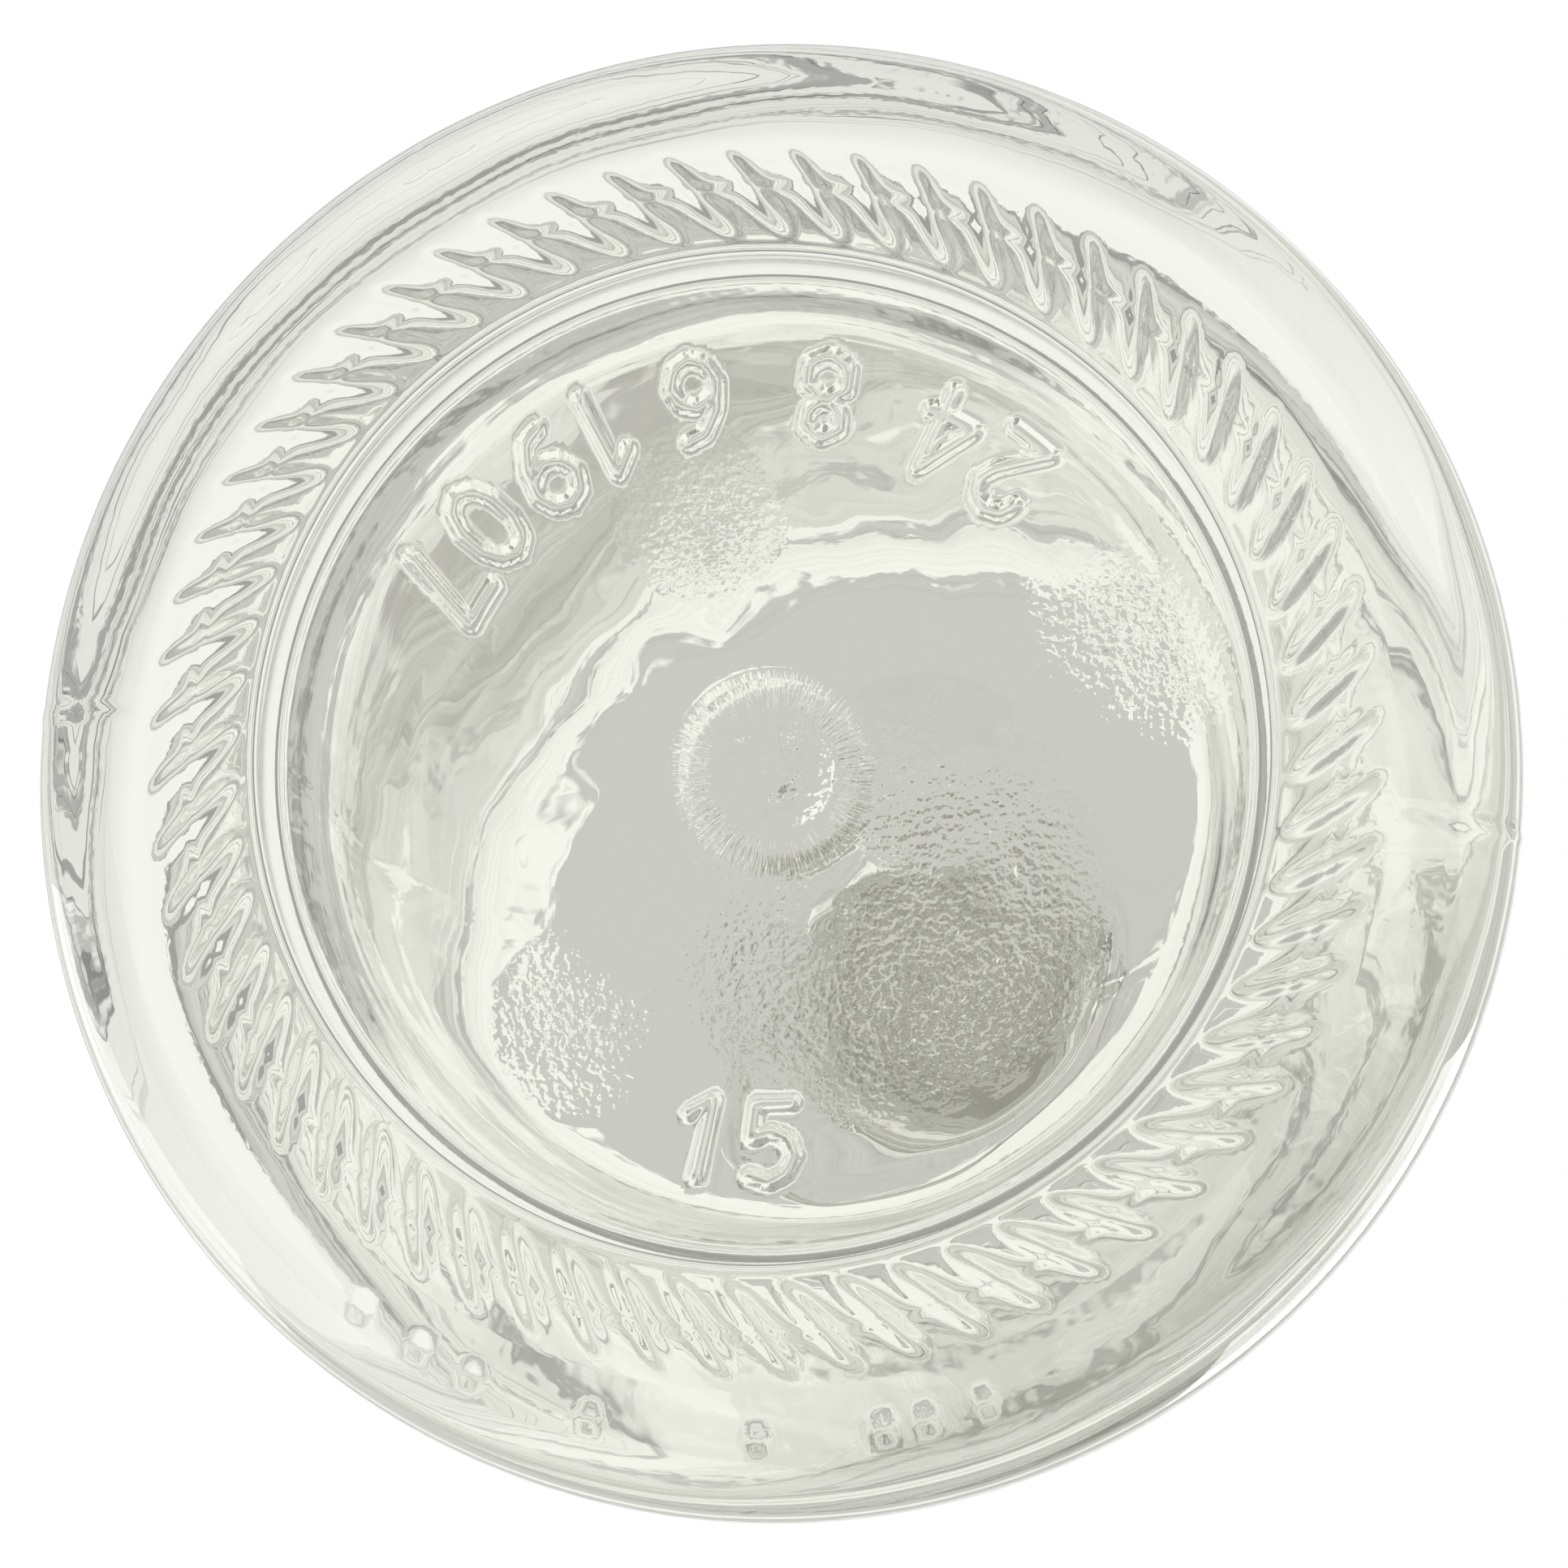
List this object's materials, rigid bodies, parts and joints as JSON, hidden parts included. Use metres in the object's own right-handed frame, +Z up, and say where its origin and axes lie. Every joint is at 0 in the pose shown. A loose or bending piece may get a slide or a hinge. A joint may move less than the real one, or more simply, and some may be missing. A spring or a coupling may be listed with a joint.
{
  "type": "glass milk bottle",
  "caption": "Clear round glass bottle with a knurled, pushed-up base, sloping shoulder and narrow neck, shut by a wire swing-top closure with a porcelain stopper.",
  "frame": {"origin": "middle of the ring of knurls the bottle stands on, on the standing plane", "axes": "+Z up along the bottle's axis, -Y to the front, where the thumb lever hangs, X along the closure's pivots"},
  "size_m": [0.083, 0.083, 0.2511],
  "materials": {
    "clear_glass": "clear, fire polished, faint green tint",
    "bright_wire": "bright drawn wire",
    "porcelain": "white gloss glaze",
    "pale_rubber": "pale matt rubber"
  },
  "bodies": {
    "bottle": {"glass_bottle": "clear_glass", "tie_wire": "bright_wire"},
    "lever": {"lever_wire": "bright_wire"},
    "bail": {"bail_wire": "bright_wire"},
    "stopper_head": {"stopper": "porcelain", "gasket": "pale_rubber"}
  },
  "joints": [
    {"name": "lever_swing", "type": "hinge", "parent": "bottle", "child": "lever", "pos_m": [0, 0, 0.217], "axis": [-1, 0, 0], "range_deg": [0, 160]},
    {"name": "bail_swing", "type": "hinge", "parent": "lever", "child": "bail", "pos_m": [0, 0, 0.207], "axis": [-1, 0, 0], "range_deg": [-109, 0]},
    {"name": "stopper_level", "type": "hinge", "parent": "bail", "child": "stopper_head", "pos_m": [0, 0, 0.2431], "axis": [-1, 0, 0], "range_deg": [-51.4, 0]}
  ],
  "couplings": [
    {"joint": "bail_swing", "follows": "lever_swing", "ratio": -0.68},
    {"joint": "stopper_level", "follows": "lever_swing", "ratio": -0.32}
  ]
}
